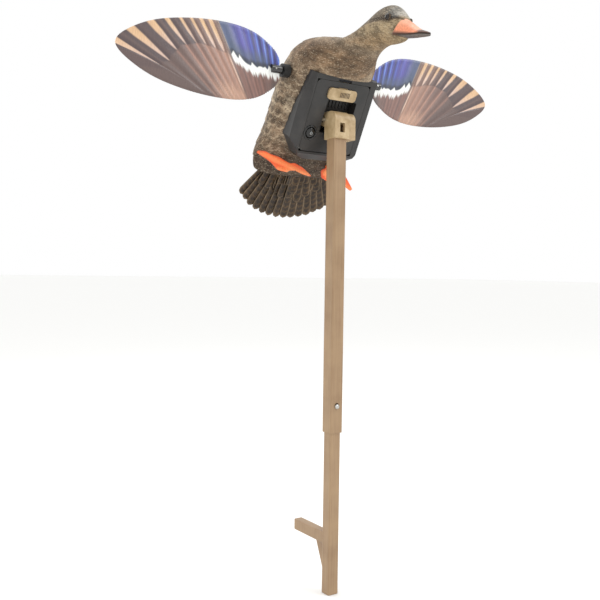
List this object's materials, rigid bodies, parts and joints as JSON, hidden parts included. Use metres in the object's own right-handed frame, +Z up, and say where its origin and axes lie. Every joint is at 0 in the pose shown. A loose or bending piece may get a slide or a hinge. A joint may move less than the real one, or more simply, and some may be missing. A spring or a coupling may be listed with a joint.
{
  "type": "motion wing decoy",
  "caption": "Hollow duck decoy climbing on a two-piece square pole, with plate wings spun by a battery motor in its belly housing.",
  "frame": {"origin": "centre of the stake's lower end, on the axis of the square pole", "axes": "+Z up along the pole, the bird faces -Y and its right wing is at -X; the wings spin about an axis along X"},
  "size_m": [0.58, 0.3071, 0.7283],
  "materials": {
    "tan_tube": "tan powder-coated steel tube",
    "zinc": "zinc-plated steel",
    "tan_plastic": "moulded tan nylon",
    "housing_plastic": "moulded charcoal plastic",
    "button_rubber": "black moulded cap",
    "feather_plastic": "moulded plastic, painted mottled brown",
    "tail_plastic": "moulded plastic, painted dark brown",
    "foot_plastic": "moulded plastic, orange",
    "wing_film": "plastic blade with a printed feather film",
    "cell_jacket": "cell in a printed jacket",
    "contact": "plated contact strip",
    "motor_can": "motor can",
    "shaft_steel": "ground steel",
    "hub_metal": "turned aluminium, blackened",
    "bush": "acetal bearing",
    "seal": "black rubber",
    "board": "circuit board",
    "tray": "moulded black tray"
  },
  "bodies": {
    "lower_pole": {"lower_tube": "tan_tube", "foot_step": "tan_tube", "step_gusset": "tan_tube", "snap_spring": "zinc"},
    "snap": {"snap_button": "zinc"},
    "upper_pole": {"upper_tube": "tan_tube", "knuckle": "tan_plastic"},
    "lid": {"battery_lid": "housing_plastic", "tilt_pin": "zinc", "switch_board": "board"},
    "latch": {"latch": "tan_plastic"},
    "power_button": {"power_button": "button_rubber"},
    "bird": {"body_shell": "feather_plastic", "tail_fan": "tail_plastic", "foot_right": "foot_plastic", "foot_left": "foot_plastic", "belly_housing": "housing_plastic", "catch_clip": "zinc", "hinge_pin": "zinc", "aa_cells": "cell_jacket", "cell_holder": "tray", "cell_contacts": "contact", "motor": "motor_can", "motor_saddle": "tray", "saddle_screws": "zinc", "control_board": "board", "shaft_bush_right": "bush", "shaft_bush_left": "bush", "shaft_seal_right": "seal", "shaft_seal_left": "seal"},
    "rotor": {"drive_shaft": "shaft_steel", "wing_hub_right": "hub_metal", "wing_hub_left": "hub_metal", "wing_screw_right": "zinc", "wing_screw_left": "zinc", "wing_right": "wing_film", "wing_left": "wing_film"}
  },
  "joints": [
    {"name": "pole_slide", "type": "slide", "parent": "lower_pole", "child": "upper_pole", "axis": [0, 0, 1], "range_m": [-0.115, 0], "deforming": ["snap_button", "snap_spring"]},
    {"name": "snap_press", "type": "slide", "parent": "lower_pole", "child": "snap", "axis": [0, 1, 0], "range_m": [0, 0.0045], "stiffness_N_per_m": 900, "deforming": ["snap_spring"]},
    {"name": "body_tilt", "type": "hinge", "parent": "upper_pole", "child": "lid", "pos_m": [0, 0.0126, 0.6103], "axis": [1, 0, 0], "range_deg": [0, 55]},
    {"name": "lid_hinge", "type": "hinge", "parent": "lid", "child": "bird", "pos_m": [0, 0.02731, 0.57366], "axis": [1, 0, 0], "range_deg": [-20, 0], "deforming": ["catch_clip"]},
    {"name": "latch_slide", "type": "slide", "parent": "lid", "child": "latch", "axis": [0, 0.4602, -0.8878], "range_m": [0, 0.004], "stiffness_N_per_m": 600, "springref_m": -0.001},
    {"name": "power_press", "type": "slide", "parent": "lid", "child": "power_button", "axis": [0, 0.8878, 0.4602], "range_m": [0, 0.0012], "stiffness_N_per_m": 1500, "springref_m": -0.0004},
    {"name": "wing_spin", "type": "hinge", "parent": "bird", "child": "rotor", "pos_m": [0, 0.02339, 0.66771], "axis": [1, 0, 0], "continuous": true}
  ]
}
